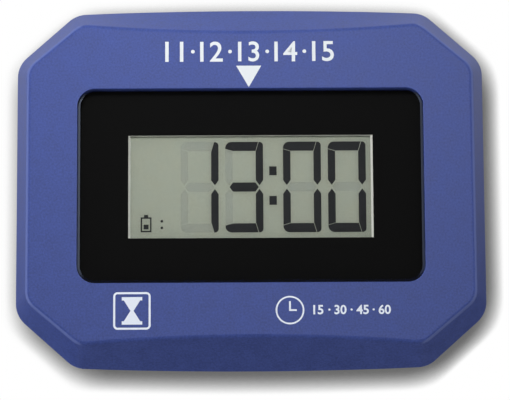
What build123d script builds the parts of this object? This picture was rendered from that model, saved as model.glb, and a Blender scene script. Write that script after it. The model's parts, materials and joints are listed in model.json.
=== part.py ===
from build123d import *
import os

# An electronic parking disc, as its display is read: X runs to the right, Z runs up, and Y
# runs from the front face, at 0, into the housing. Millimetres throughout.

# ---- Housing outline: an octagon with bowed top and bottom edges, at three depths ----
rim_depth = 8.3
rim_width = 105.0
rim_mid_height = 82.4
rim_corner_height = 80.7
rim_cut_width = 13.2
rim_cut_height = 11.8
rim_rounding = 6.0

front_narrowing = 5.7
front_mid_lowering = 13.8
front_corner_lowering = 8.7
front_cut_width = 11.8
front_cut_height = 9.9
front_rounding = 4.5

back_narrowing = 4.4
least_rounding = 1.0
front_edge_radius = 1.1
back_edge_radius = 1.2
parting_groove = 0.35

# ---- Walls and clearances ----
wall = 2.0
back_wall = 1.8
fit_gap = 0.15
slide_gap = 0.1
screw_gap = 0.02
lip_length = 1.5
lip_thickness = 1.0
lip_root = 0.5

# ---- Window pane and the rebate that holds it ----
window_width = 77.0
window_height = 43.7
window_rounding = 3.9
window_drop = 0.5
window_edge_radius = 0.15
pane_recess = 0.5
pane_thickness = 1.5
pane_gap = 0.15
pane_chamfer = 0.5
border_thickness = 0.1
film_gap = 0.02
adhesive_thickness = 0.15
ledge_width = 3.0
ledge_thickness = 1.2
ledge_rounding = 2.0
pocket_wall = 1.85

# ---- Liquid-crystal display and its holder ----
display_width = 54.4
display_height = 23.15
bezel_depth = 0.96
bezel_side_inset = 0.45
bezel_end_inset = 0.1
bezel_shift_up = 0.1
polariser_thickness = 0.2
polariser_border = 0.9
glass_thickness = 0.55
glass_border_side = 2.8
glass_border_end = 1.4
contact_ledge = 2.7
seal_thickness = 0.1
seal_width = 1.0
strip_width = 2.0
strip_height = 2.1
strip_end_gap = 3.0
holder_gap = 0.2
holder_flange = 1.7
holder_rounding = 2.0

# ---- Circuit board ----
board_thickness = 1.0
board_rounding = 2.0
board_side_margin = 2.8
board_edge_gap = 1.1
board_boss_radius = 2.0
board_boss_inset = 5.5

# ---- Screws ----
screw_inset_x = 9.15
screw_inset_z = 8.5
screw_boss_radius = 2.9
screw_post_wall = 1.1
screw_radius = 1.1
screw_length = 8.0
screw_head_radius = 2.0
screw_head_height = 1.5
screw_head_recess = 1.5
board_screw_radius = 0.85
board_screw_length = 4.2
board_head_radius = 1.7
board_head_height = 1.2
head_rounding = 0.4
tip_chamfer = 0.4
pilot_extra = 0.5
drive_width = 0.6
drive_depth = 0.7
drive_margin = 0.8

# ---- Coin cells, their wells and contacts ----
cell_radius = 12.25
cell_height = 5.0
cell_cap_inset = 1.4
cell_cap_height = 0.6
cell_edge_radius = 0.5
cell_z = -12.0
cell_end_gap = 0.3
well_gap = 0.35
well_web = 1.6
well_wall = 1.1
well_floor = 0.6
well_board_gap = 0.35
leaf_thickness = 0.25
leaf_width = 4.0
leaf_foot = 4.0
leaf_rise = 6.0
leaf_tip = 2.5
leaf_tip_drop = 0.3
side_contact_thickness = 0.3
side_contact_width = 5.0
side_contact_foot = 2.5
side_contact_reach = 3.6
contact_gap = 0.05
notch_gap = 0.3

# ---- Battery door: a panel with tongues, which slides down out of the back shell ----
door_thickness = 1.5
door_tongue_thickness = 0.7
door_tongue_width = 1.0
door_margin = 1.0
door_top_margin = 2.0
channel_wall = 1.5
channel_floor = 1.2
grip_width = 18.0
grip_height = 9.0
grip_rounding = 2.0
grip_depth = 0.6
grip_ribs = 4
grip_rib_width = 0.8
grip_margin = 9.0
arrow_size = 2.2
arrow_depth = 0.3
arrow_gap = 4.0

# ---- Push-buttons and tactile switches ----
button_spacing = 28.0
button_board_margin = 6.5
button_radius = 4.0
button_flange = 1.0
button_flange_thickness = 0.8
button_stem_radius = 1.6
button_sink = 0.2
button_travel = 0.5
button_edge_radius = 0.4
button_gap = 0.1
dish_margin = 2.4
dish_depth = 0.6
dot_radius = 0.45
dot_height = 0.15
dot_spacing = 1.8
switch_size = 6.0
switch_height = 3.4
switch_rounding = 0.5
plunger_radius = 1.75
plunger_gap = 0.05
plunger_rise = 1.0
plunger_root = 1.0

# ---- Small parts on the back of the board ----
chip_size = 7.0
chip_height = 1.2
chip_leads = 8
chip_lead_spacing = 0.8
chip_lead_width = 0.35
chip_lead_length = 1.0
chip_lead_thickness = 0.2
crystal_radius = 1.0
crystal_length = 6.0
crystal_lead_radius = 0.15
crystal_lead_length = 1.5
crystal_lead_spacing = 0.8
sensor_size = 3.0
sensor_height = 1.0
small_part_length = 1.6
small_part_width = 0.8
capacitor_height = 0.8
resistor_height = 0.45
small_part_spacing = 3.0
small_part_inset = 11.8
side_part_inset = 11.0

# ---- Depths, worked out from the front face inwards ----
border_front = pane_recess + pane_thickness + film_gap
border_back = border_front + border_thickness
ledge_front = border_back + adhesive_thickness
ledge_back = ledge_front + ledge_thickness
polariser_front = border_back + bezel_depth
front_glass_front = polariser_front + polariser_thickness + film_gap
front_glass_back = front_glass_front + glass_thickness
rear_glass_front = front_glass_back + seal_thickness
rear_glass_back = rear_glass_front + glass_thickness
reflector_front = rear_glass_back + film_gap
board_front = front_glass_back + strip_height
board_back = board_front + board_thickness
well_floor_front = board_back + well_board_gap
well_floor_back = well_floor_front + well_floor
cell_front = well_floor_back + slide_gap
cell_back = cell_front + cell_height
door_inner = cell_back + cell_end_gap
total_depth = door_inner + door_thickness
back_inner = total_depth - back_wall
channel_back = door_inner - slide_gap
channel_front = channel_back - channel_floor
tongue_back = door_inner + door_tongue_thickness
screw_seat = total_depth - screw_head_recess - screw_head_height
switch_back = board_back + switch_height
plunger_back = switch_back + plunger_rise
flange_back = back_inner - button_gap
flange_front = flange_back - button_flange_thickness
button_back = total_depth - button_sink

# ---- Widths, heights and places that follow from the sizes above ----
pane_width = window_width - 2 * pane_gap
pane_height = window_height - 2 * pane_gap
pane_rounding = window_rounding - pane_gap
ledge_opening_width = window_width - 2 * ledge_width
ledge_opening_height = window_height - 2 * ledge_width
polariser_width = display_width + 2 * polariser_border
polariser_height = display_height + 2 * polariser_border
glass_width = display_width + 2 * glass_border_side
rear_glass_height = display_height + 2 * glass_border_end
glass_height = rear_glass_height + 2 * contact_ledge
strip_z = (rear_glass_height + contact_ledge) / 2

front_width = rim_width - front_narrowing
front_mid_height = rim_mid_height - front_mid_lowering
front_corner_height = rim_corner_height - front_corner_lowering
board_boss_x = (window_width / 2 + pocket_wall + front_width / 2 - wall) / 2
screw_x = front_width / 2 - screw_inset_x
screw_z = front_corner_height / 2 - screw_inset_z
screw_post_radius = screw_head_radius + slide_gap + screw_post_wall
board_width = 2 * (board_boss_x + board_side_margin)
board_height = 2 * (screw_z - screw_boss_radius - board_edge_gap)
board_boss_spacing = board_height - 2 * board_boss_inset
button_z = board_height / 2 - button_board_margin
side_part_x = board_width / 2 - side_part_inset
small_part_x = side_part_x - small_part_inset

well_radius = cell_radius + well_gap
cell_x = well_radius + well_web / 2
side_contact_x = cell_x + cell_radius + contact_gap
leaf_length = leaf_foot + leaf_rise + leaf_tip
door_top = cell_z + well_radius + door_top_margin
door_half_width = cell_x + well_radius + door_margin
tongue_half_width = door_half_width + door_tongue_width
channel_top = door_top + slide_gap
channel_half_width = tongue_half_width + slide_gap + channel_wall
grip_z = grip_margin - (rim_mid_height - back_narrowing) / 2
sides = {"left": -1, "right": 1}

os.makedirs("parts", exist_ok=True)


def facing_front(depth):
    """The plane at a depth, seen from the front: X to the right and Z up."""
    return Plane.XZ.offset(-depth)


def facing_back(depth):
    """The plane at a depth, seen from the back, so that its own X runs to the left."""
    return Plane(origin=(0, depth, 0), x_dir=(-1, 0, 0), z_dir=(0, 1, 0))


def save(piece, name):
    """Label a finished piece and write it out."""
    piece.part.label = name
    export_step(piece.part, f"parts/{name}.step")


# ---- Housing form ----
def housing_section(depth):
    """Width, heights, corner cuts and rounding of the octagon at a depth."""
    front = (front_width, front_mid_height, front_corner_height)
    front += (front_cut_width, front_cut_height, front_rounding)
    rim = (rim_width, rim_mid_height, rim_corner_height)
    rim += (rim_cut_width, rim_cut_height, rim_rounding)
    back = tuple(size - back_narrowing for size in rim[:3]) + rim[3:]
    if depth <= rim_depth:
        near, far, share = front, rim, depth / rim_depth
    else:
        near, far, share = rim, back, (depth - rim_depth) / (total_depth - rim_depth)
    return [a + (b - a) * share for a, b in zip(near, far)]


def housing_outline(depth, inset=0.0):
    """The octagon at a depth as a face, drawn smaller by inset all round."""
    width, mid, corner, cut_width, cut_height, rounding = housing_section(depth)
    side_x, side_z = width / 2, corner / 2 - cut_height
    end_x, end_z = width / 2 - cut_width, corner / 2
    with BuildSketch(facing_front(depth)) as outline:
        with BuildLine():
            Line((side_x, -side_z), (side_x, side_z))
            Line((side_x, side_z), (end_x, end_z))
            ThreePointArc((end_x, end_z), (0, mid / 2), (-end_x, end_z))
            Line((-end_x, end_z), (-side_x, side_z))
            Line((-side_x, side_z), (-side_x, -side_z))
            Line((-side_x, -side_z), (-end_x, -end_z))
            ThreePointArc((-end_x, -end_z), (0, -mid / 2), (end_x, -end_z))
            Line((end_x, -end_z), (side_x, -side_z))
        make_face()
        if inset:
            offset(amount=-inset, kind=Kind.INTERSECTION)
        fillet(outline.vertices(), radius=max(rounding - inset, least_rounding))
    return outline.sketch


def housing_form(start, stop, inset=0.0):
    """The solid between two depths of the housing, drawn in by inset all round."""
    ends = [housing_outline(depth, inset) for depth in (start, stop)]
    with BuildPart() as form:
        loft(sections=ends, ruled=True)
    return form.part


def rim_edges(form, depth):
    """The edges round a form's flat face at a depth."""
    faces = form.faces().filter_by(Axis.Y)
    return faces.sort_by(lambda face: abs(face.center().Y - depth))[0].edges()


# ---- Front shell: bevelled face, rebate for the pane, bosses for both sets of screws ----
front_space = housing_form(wall, rim_depth, wall)
with BuildPart() as front_cavity:
    add(front_space)
    with BuildSketch(facing_front(wall)):
        with Locations((0, -window_drop)):
            RectangleRounded(
                window_width + 2 * pocket_wall,
                window_height + 2 * pocket_wall,
                window_rounding + pocket_wall,
            )
    extrude(amount=wall - ledge_back, mode=Mode.SUBTRACT)
    with BuildSketch(facing_front(wall)):
        with GridLocations(2 * board_boss_x, board_boss_spacing, 2, 2):
            Circle(board_boss_radius)
    extrude(amount=wall - board_front, mode=Mode.SUBTRACT)
    with BuildSketch(facing_front(wall)):
        with GridLocations(2 * screw_x, 2 * screw_z, 2, 2):
            Circle(screw_boss_radius)
    extrude(amount=wall - rim_depth, mode=Mode.SUBTRACT)

front_form = housing_form(0, rim_depth)
with BuildPart() as front_shell:
    add(front_form)
    fillet(rim_edges(front_shell, 0), radius=front_edge_radius)
    chamfer(rim_edges(front_shell, rim_depth), length=parting_groove)
    add(front_cavity.part, mode=Mode.SUBTRACT)
    with BuildSketch(facing_front(0)):
        with Locations((0, -window_drop)):
            RectangleRounded(window_width, window_height, window_rounding)
    extrude(amount=-ledge_front, mode=Mode.SUBTRACT)
    front_face = front_shell.faces().filter_by(Axis.Y).sort_by(Axis.Y)[0]
    fillet(front_face.inner_wires()[0].edges(), radius=window_edge_radius)
    with BuildSketch(facing_front(ledge_front)):
        with Locations((0, -window_drop)):
            RectangleRounded(ledge_opening_width, ledge_opening_height, ledge_rounding)
    extrude(amount=-ledge_thickness, mode=Mode.SUBTRACT)
    with Locations(facing_back(rim_depth)):
        with GridLocations(2 * screw_x, 2 * screw_z, 2, 2):
            Hole(screw_radius + screw_gap, depth=screw_length - screw_seat + rim_depth + pilot_extra)
    with Locations(facing_back(board_front)):
        with GridLocations(2 * board_boss_x, board_boss_spacing, 2, 2):
            Hole(
                board_screw_radius + screw_gap,
                depth=board_screw_length - board_thickness + pilot_extra,
            )
save(front_shell, "front_shell")

# ---- Window pane, its black border film and the adhesive that holds it ----
with BuildPart() as window_pane:
    with BuildSketch(facing_front(pane_recess)):
        with Locations((0, -window_drop)):
            RectangleRounded(pane_width, pane_height, pane_rounding)
    extrude(amount=-pane_thickness)
    chamfer(rim_edges(window_pane, pane_recess), length=pane_chamfer)
save(window_pane, "window_pane")

with BuildPart() as border_film:
    with BuildSketch(facing_front(border_front)):
        with Locations((0, -window_drop)):
            RectangleRounded(pane_width, pane_height, pane_rounding)
            Rectangle(display_width, display_height, mode=Mode.SUBTRACT)
    extrude(amount=-border_thickness)
save(border_film, "border_film")

with BuildPart() as pane_adhesive:
    with BuildSketch(facing_front(border_back)):
        with Locations((0, -window_drop)):
            RectangleRounded(pane_width, pane_height, pane_rounding)
            RectangleRounded(
                ledge_opening_width, ledge_opening_height, ledge_rounding, mode=Mode.SUBTRACT
            )
    extrude(amount=-adhesive_thickness)
save(pane_adhesive, "pane_adhesive")

# ---- Display holder: a pale frame with a sloped opening, and a pocket for the glass ----
with BuildPart() as display_holder:
    with BuildSketch(facing_front(border_back)):
        with Locations((0, -window_drop)):
            RectangleRounded(
                ledge_opening_width - 2 * holder_gap,
                ledge_opening_height - 2 * holder_gap,
                ledge_rounding - holder_gap,
            )
    extrude(amount=border_back - ledge_back)
    with BuildSketch(facing_front(ledge_back)):
        with Locations((0, -window_drop)):
            RectangleRounded(
                ledge_opening_width + 2 * holder_flange,
                ledge_opening_height + 2 * holder_flange,
                holder_rounding,
            )
    extrude(amount=ledge_back - board_front)
    with BuildSketch(facing_front(border_back)):
        with Locations((0, -window_drop)):
            Rectangle(display_width, display_height)
    with BuildSketch(facing_front(polariser_front)):
        with Locations((0, bezel_shift_up - window_drop)):
            Rectangle(display_width - 2 * bezel_side_inset, display_height - 2 * bezel_end_inset)
    loft(ruled=True, mode=Mode.SUBTRACT)
    with BuildSketch(facing_front(polariser_front)):
        with Locations((0, -window_drop)):
            Rectangle(glass_width + 2 * holder_gap, glass_height + 2 * holder_gap)
    extrude(amount=polariser_front - board_front, mode=Mode.SUBTRACT)
save(display_holder, "display_holder")


# ---- Liquid-crystal display: a sandwich of thin sheets, its edge seal and contact strips ----
def sheet(width, height, depth, thickness):
    """A plain sheet centred on the display, with its front at a depth."""
    with BuildPart() as piece:
        with BuildSketch(facing_front(depth)):
            with Locations((0, -window_drop)):
                Rectangle(width, height)
        extrude(amount=-thickness)
    return piece


front_polariser = sheet(polariser_width, polariser_height, polariser_front, polariser_thickness)
save(front_polariser, "front_polariser")
front_glass = sheet(glass_width, glass_height, front_glass_front, glass_thickness)
save(front_glass, "front_glass")
rear_glass = sheet(glass_width, rear_glass_height, rear_glass_front, glass_thickness)
save(rear_glass, "rear_glass")
rear_reflector = sheet(polariser_width, polariser_height, reflector_front, polariser_thickness)
save(rear_reflector, "rear_reflector")

with BuildPart() as glass_seal:
    with BuildSketch(facing_front(front_glass_back)):
        with Locations((0, -window_drop)):
            Rectangle(glass_width, rear_glass_height)
            Rectangle(
                glass_width - 2 * seal_width, rear_glass_height - 2 * seal_width, mode=Mode.SUBTRACT
            )
    extrude(amount=-seal_thickness)
save(glass_seal, "glass_seal")

for name, side in (("upper", 1), ("lower", -1)):
    with BuildPart() as contact_strip:
        with BuildSketch(facing_front(front_glass_back)):
            with Locations((0, side * strip_z - window_drop)):
                Rectangle(glass_width - 2 * strip_end_gap, strip_width)
        extrude(amount=-strip_height)
    save(contact_strip, f"{name}_contact_strip")

# ---- Circuit board and what is soldered to its back ----
with BuildPart() as circuit_board:
    with BuildSketch(facing_front(board_front)):
        RectangleRounded(board_width, board_height, board_rounding)
    extrude(amount=-board_thickness)
    with Locations(facing_back(board_back)):
        with GridLocations(2 * board_boss_x, board_boss_spacing, 2, 2):
            Hole(board_screw_radius + slide_gap, depth=board_thickness)
save(circuit_board, "circuit_board")

with BuildPart() as controller_chip:
    with BuildSketch(facing_front(board_back)):
        with Locations((0, button_z)):
            Rectangle(chip_size, chip_size)
    extrude(amount=-chip_height)
    with BuildSketch(facing_front(board_back)):
        with Locations((0, button_z)):
            with GridLocations(0, chip_lead_spacing, 1, chip_leads):
                Rectangle(chip_size + 2 * chip_lead_length, chip_lead_width)
            with GridLocations(chip_lead_spacing, 0, chip_leads, 1):
                Rectangle(chip_lead_width, chip_size + 2 * chip_lead_length)
    extrude(amount=-chip_lead_thickness)
save(controller_chip, "controller_chip")

can_depth = board_back + crystal_radius
can_top = button_z + crystal_length / 2
with BuildPart() as clock_crystal:
    with BuildSketch(Plane.XY.offset(can_top - crystal_length)):
        with Locations((side_part_x, can_depth)):
            Circle(crystal_radius)
    extrude(amount=crystal_length)
    with BuildSketch(Plane.XY.offset(can_top)):
        with Locations((side_part_x, can_depth)):
            with GridLocations(crystal_lead_spacing, 0, 2, 1):
                Circle(crystal_lead_radius)
    extrude(amount=crystal_lead_length + crystal_lead_radius)
    with BuildSketch(facing_front(board_back)):
        with Locations((side_part_x, can_top + crystal_lead_length)):
            with GridLocations(crystal_lead_spacing, 0, 2, 1):
                Circle(crystal_lead_radius)
    extrude(amount=-crystal_radius - crystal_lead_radius)
save(clock_crystal, "clock_crystal")

with BuildPart() as motion_sensor:
    with BuildSketch(facing_front(board_back)):
        with Locations((-side_part_x, button_z)):
            Rectangle(sensor_size, sensor_size)
    extrude(amount=-sensor_height)
save(motion_sensor, "motion_sensor")


def small_parts(centre_x, height, rows, columns):
    """A grid of equal surface-mounted parts on the back of the board."""
    with BuildPart() as group:
        with BuildSketch(facing_front(board_back)):
            with Locations((centre_x, button_z)):
                with GridLocations(small_part_spacing, small_part_spacing, columns, rows):
                    Rectangle(small_part_length, small_part_width)
        extrude(amount=-height)
    return group


capacitors = small_parts(-small_part_x, capacitor_height, rows=3, columns=2)
save(capacitors, "capacitors")
resistors = small_parts(small_part_x, resistor_height, rows=4, columns=2)
save(resistors, "resistors")


# ---- Screws: pan heads with a cross drive, four of a kind in each group ----
def screws(seat, places, radius, length, head_radius, head_height):
    """Four screws driven from the back, with their heads bearing on a depth."""
    drive_length = 2 * (head_radius - drive_margin)
    with BuildPart() as group:
        with BuildSketch(facing_back(seat)):
            with GridLocations(*places, 2, 2):
                Circle(head_radius)
        extrude(amount=head_height)
        fillet(group.faces().group_by(Axis.Y)[-1].edges(), radius=head_rounding)
        with BuildSketch(facing_back(seat)):
            with GridLocations(*places, 2, 2):
                Circle(radius)
        extrude(amount=-length)
        chamfer(group.faces().group_by(Axis.Y)[0].edges(), length=tip_chamfer)
        with BuildSketch(facing_back(seat + head_height)):
            with GridLocations(*places, 2, 2):
                Rectangle(drive_length, drive_width)
                Rectangle(drive_width, drive_length)
        extrude(amount=-drive_depth, mode=Mode.SUBTRACT)
    return group


housing_screw_places = (2 * screw_x, 2 * screw_z)
housing_screws = screws(
    screw_seat, housing_screw_places, screw_radius, screw_length, screw_head_radius, screw_head_height
)
save(housing_screws, "housing_screws")
board_screw_places = (2 * board_boss_x, board_boss_spacing)
board_screws = screws(
    board_back,
    board_screw_places,
    board_screw_radius,
    board_screw_length,
    board_head_radius,
    board_head_height,
)
save(board_screws, "board_screws")

# ---- Back shell: cell wells, door channel, button holes, screw posts and locating lip ----
back_space = housing_form(rim_depth, back_inner, wall)
with BuildPart() as back_cavity:
    add(back_space)
    with BuildSketch(facing_front(channel_front)):
        with Locations((0, channel_top + channel_wall)):
            Rectangle(2 * channel_half_width, rim_mid_height, align=(Align.CENTER, Align.MAX))
    extrude(amount=channel_front - back_inner, mode=Mode.SUBTRACT)

lip_front = rim_depth - lip_length
lip_outer = housing_form(lip_front, rim_depth, wall + fit_gap)
lip_inner = housing_form(lip_front, rim_depth, wall + fit_gap + lip_thickness)
lip_root_outer = housing_outline(rim_depth, wall - lip_root)
lip_root_inner = housing_outline(rim_depth, wall + fit_gap + lip_thickness)
with BuildPart() as lip:
    add(lip_outer)
    add(lip_inner, mode=Mode.SUBTRACT)
    extrude(lip_root_outer - lip_root_inner, amount=-lip_length)

back_solid = housing_form(rim_depth, total_depth)
with BuildPart() as back_form:
    add(back_solid)
    fillet(rim_edges(back_form, total_depth), radius=back_edge_radius)
    chamfer(rim_edges(back_form, rim_depth), length=parting_groove)

button_places = [(-button_spacing / 2, button_z), (button_spacing / 2, button_z)]
cell_places = [(-cell_x, cell_z), (cell_x, cell_z)]
with BuildPart() as back_shell:
    add(back_form.part)
    add(back_cavity.part, mode=Mode.SUBTRACT)
    add(lip.part)
    with BuildSketch(facing_front(well_floor_front)):
        with Locations(*cell_places):
            Circle(well_radius + well_wall)
    extrude(amount=well_floor_front - channel_back)
    with BuildSketch(facing_front(rim_depth)):
        with GridLocations(2 * screw_x, 2 * screw_z, 2, 2):
            Circle(screw_post_radius)
    extrude(amount=rim_depth - back_inner)
    # the door's channel: wide where the tongues run, narrower between the lips that hold them
    for start, stop, half_width in (
        (channel_back, tongue_back + slide_gap, tongue_half_width + slide_gap),
        (tongue_back + slide_gap, total_depth, door_half_width + slide_gap),
    ):
        with BuildSketch(facing_front(start)):
            with Locations((0, channel_top)):
                Rectangle(2 * half_width, rim_mid_height, align=(Align.CENTER, Align.MAX))
        extrude(amount=start - stop, mode=Mode.SUBTRACT)
    with BuildSketch(facing_front(well_floor_back)):
        with Locations(*cell_places):
            Circle(well_radius)
    extrude(amount=well_floor_back - channel_back, mode=Mode.SUBTRACT)
    # windows in the well floors for the leaf contacts, and notches in the walls for the side ones
    with BuildSketch(facing_front(well_floor_front)):
        with Locations(*cell_places):
            Rectangle(leaf_width + 2 * notch_gap, leaf_length + 2 * notch_gap)
    extrude(amount=-well_floor, mode=Mode.SUBTRACT)
    with BuildSketch(facing_front(well_floor_front)):
        with Locations(*[(side * side_contact_x, cell_z) for side in sides.values()]):
            Rectangle(
                2 * (side_contact_thickness + notch_gap), side_contact_width + 2 * notch_gap
            )
    extrude(amount=-well_floor - side_contact_reach - notch_gap, mode=Mode.SUBTRACT)
    with BuildSketch(facing_front(total_depth)):
        with Locations(*button_places):
            Circle(button_radius + dish_margin)
    extrude(amount=dish_depth, mode=Mode.SUBTRACT)
    with Locations(facing_back(total_depth)):
        with Locations(*button_places):
            Hole(button_radius + button_gap, depth=back_wall)
    with Locations(facing_back(total_depth)):
        with GridLocations(2 * screw_x, 2 * screw_z, 2, 2):
            CounterBoreHole(
                radius=screw_radius + slide_gap,
                counter_bore_radius=screw_head_radius + slide_gap,
                counter_bore_depth=total_depth - screw_seat,
                depth=total_depth - rim_depth,
            )
save(back_shell, "back_shell")

# ---- Battery door ----
with BuildPart() as battery_door:
    for start, stop, half_width in (
        (door_inner, tongue_back, tongue_half_width),
        (tongue_back, total_depth, door_half_width),
    ):
        with BuildSketch(facing_front(start)):
            with Locations((0, door_top)):
                Rectangle(2 * half_width, rim_mid_height, align=(Align.CENTER, Align.MAX))
        extrude(amount=start - stop)
    add(back_form.part, mode=Mode.INTERSECT)
    with BuildSketch(facing_front(total_depth)):
        with Locations((0, grip_z)):
            RectangleRounded(grip_width, grip_height, grip_rounding)
            with GridLocations(0, grip_height / grip_ribs, 1, grip_ribs):
                Rectangle(grip_width - grip_rounding, grip_rib_width, mode=Mode.SUBTRACT)
    extrude(amount=grip_depth, mode=Mode.SUBTRACT)
    with BuildSketch(facing_front(total_depth)):
        with Locations((0, grip_z + grip_height / 2 + arrow_gap)):
            RegularPolygon(arrow_size, 3, rotation=-90)
    extrude(amount=arrow_depth, mode=Mode.SUBTRACT)
save(battery_door, "battery_door")

# ---- Coin cells and their contacts ----
for hand, side in sides.items():
    with BuildPart() as cell:
        with BuildSketch(facing_front(cell_front)):
            with Locations((side * cell_x, cell_z)):
                Circle(cell_radius - cell_cap_inset)
        extrude(amount=-cell_cap_height)
        with BuildSketch(facing_front(cell_front + cell_cap_height)):
            with Locations((side * cell_x, cell_z)):
                Circle(cell_radius)
        extrude(amount=cell_cap_height - cell_height)
        fillet(cell.faces().sort_by(Axis.Y)[-1].edges(), radius=cell_edge_radius)
    save(cell, f"{hand}_cell")

    # a leaf from the board up to the flat negative side of the cell
    leaf_start = cell_z - leaf_length / 2
    leaf_peak = cell_front - contact_gap - leaf_thickness
    with BuildPart() as negative_contact:
        with BuildSketch(Plane.YZ.offset(side * cell_x - leaf_width / 2)):
            with BuildLine():
                Polyline(
                    (board_back, leaf_start),
                    (board_back, leaf_start + leaf_foot),
                    (leaf_peak, leaf_start + leaf_foot + leaf_rise),
                    (leaf_peak - leaf_tip_drop, leaf_start + leaf_length),
                )
                offset(amount=leaf_thickness, side=Side.RIGHT, kind=Kind.INTERSECTION)
            make_face()
        extrude(amount=leaf_width)
    save(negative_contact, f"{hand}_negative_contact")

    # an upright blade beside the rim of the cell, which is its positive side
    with BuildPart() as positive_contact:
        blade_x = side * side_contact_x
        outward = side * side_contact_thickness
        blade_back = well_floor_back + side_contact_reach
        foot_back = board_back + side_contact_thickness
        with BuildSketch(Plane.XY.offset(cell_z - side_contact_width / 2)):
            with BuildLine():
                Polyline(
                    (blade_x, board_back),
                    (blade_x, blade_back),
                    (blade_x + outward, blade_back),
                    (blade_x + outward, foot_back),
                    (blade_x + side * side_contact_foot, foot_back),
                    (blade_x + side * side_contact_foot, board_back),
                    close=True,
                )
            make_face()
        extrude(amount=side_contact_width)
    save(positive_contact, f"{hand}_positive_contact")

# ---- Tactile switches and the push-buttons that work them ----
for hand, side in sides.items():
    place = (side * button_spacing / 2, button_z)
    with BuildPart() as switch:
        with BuildSketch(facing_front(board_back)):
            with Locations(place):
                RectangleRounded(switch_size, switch_size, switch_rounding)
        extrude(amount=-switch_height)
        with BuildSketch(facing_front(switch_back)):
            with Locations(place):
                Circle(plunger_radius + plunger_gap)
        extrude(amount=plunger_root + button_travel + button_gap, mode=Mode.SUBTRACT)
    save(switch, f"{hand}_switch")

    with BuildPart() as plunger:
        with BuildSketch(facing_front(plunger_back)):
            with Locations(place):
                Circle(plunger_radius)
        extrude(amount=plunger_rise + plunger_root)
    save(plunger, f"{hand}_plunger")

    dots = 1 if side < 0 else 2
    with BuildPart() as button:
        with BuildSketch(facing_front(plunger_back)):
            with Locations(place):
                Circle(button_stem_radius)
        extrude(amount=plunger_back - flange_front)
        with BuildSketch(facing_front(flange_front)):
            with Locations(place):
                Circle(button_radius + button_flange)
        extrude(amount=-button_flange_thickness)
        with BuildSketch(facing_front(flange_back)):
            with Locations(place):
                Circle(button_radius)
        extrude(amount=flange_back - button_back)
        fillet(button.faces().sort_by(Axis.Y)[-1].edges(), radius=button_edge_radius)
        with BuildSketch(facing_front(button_back)):
            with Locations(place):
                with GridLocations(dot_spacing, 0, dots, 1):
                    Circle(dot_radius)
        extrude(amount=-dot_height)
    save(button, f"{hand}_button")
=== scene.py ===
# %% [markdown]
# # Dressing an electronic parking disc
# The solid model of the disc comes ready made: thirty-four separate pieces, each in its
# true place. X runs to the right, Z runs up, and the flat front face lies at Y = 0 with the
# housing behind it. Blender gives it its looks: moulded blue plastic, a black-bordered
# window, a liquid-crystal display that shows the time, white printed marks and soft light.
# Pieces that touch the model take their depth from the model's own boxes, and the places of
# the marks are written in millimetres of the same frame.

# %% Load the model and keep its box
import json
import math

import bpy
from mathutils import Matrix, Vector


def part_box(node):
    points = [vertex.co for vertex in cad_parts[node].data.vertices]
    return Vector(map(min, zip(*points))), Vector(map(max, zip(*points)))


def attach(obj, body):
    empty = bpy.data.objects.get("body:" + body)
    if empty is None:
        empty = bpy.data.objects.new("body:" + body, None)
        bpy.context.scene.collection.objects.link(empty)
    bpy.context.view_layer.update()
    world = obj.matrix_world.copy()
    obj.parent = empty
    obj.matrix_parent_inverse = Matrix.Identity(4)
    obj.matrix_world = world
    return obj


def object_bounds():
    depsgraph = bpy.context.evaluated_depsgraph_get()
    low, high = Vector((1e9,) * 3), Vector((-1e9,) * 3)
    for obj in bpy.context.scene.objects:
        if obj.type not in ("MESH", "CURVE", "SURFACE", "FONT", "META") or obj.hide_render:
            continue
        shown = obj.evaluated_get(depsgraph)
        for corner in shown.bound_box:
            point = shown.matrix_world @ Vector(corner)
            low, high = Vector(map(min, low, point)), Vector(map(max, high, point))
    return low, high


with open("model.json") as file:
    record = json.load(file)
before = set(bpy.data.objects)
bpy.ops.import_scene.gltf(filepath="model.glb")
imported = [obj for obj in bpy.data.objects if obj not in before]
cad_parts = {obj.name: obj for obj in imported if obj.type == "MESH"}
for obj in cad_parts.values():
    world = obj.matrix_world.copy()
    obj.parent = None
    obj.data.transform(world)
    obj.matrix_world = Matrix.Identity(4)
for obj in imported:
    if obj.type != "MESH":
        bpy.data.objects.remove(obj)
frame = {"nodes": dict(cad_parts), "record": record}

nodes = frame["nodes"]
cad_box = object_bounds()
print("pieces in the model:", len(nodes))
print("size in mm:", [round(1000 * side, 2) for side in cad_box[1] - cad_box[0]])

# %% [markdown]
# ## The camera
# The disc is seen from a little below its middle, which makes the lower bevel wide and dark
# and the upper one narrow and bright. A long lens from far away keeps its opposite sides
# nearly parallel. An empty could be tracked, but a look direction turned into a rotation is
# simpler to repeat: the camera looks along its own -Z, with its own Y upwards.

# %% Camera
mm = 0.001
camera_place = Vector((-2.9, -617.4, -113.0)) * mm
camera_target = Vector((0.92, 0.0, -3.95)) * mm
camera_roll = math.radians(-0.34)

camera_data = bpy.data.cameras.new("camera")
camera_data.lens = 200.0
camera_data.sensor_width = 36.0
camera_data.clip_start = 0.01
camera_data.clip_end = 20.0
camera = bpy.data.objects.new("camera", camera_data)
bpy.context.scene.collection.objects.link(camera)
camera.location = camera_place
camera.rotation_euler = (camera_target - camera_place).to_track_quat("-Z", "Y").to_euler()
camera.rotation_euler.rotate_axis("Z", camera_roll)
bpy.context.scene.camera = camera
print("camera distance in mm:", round((camera_target - camera_place).length / mm, 1))

# %% [markdown]
# Blender's usual view softens and greys strong colours, as film does. A part that has to
# show its colours as they were chosen is looked at with the plain Standard view. A ray that
# looks at the display passes eight clear surfaces before it meets the reflector, which is
# just as many as Cycles allows at first, so that limit is raised.

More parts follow.
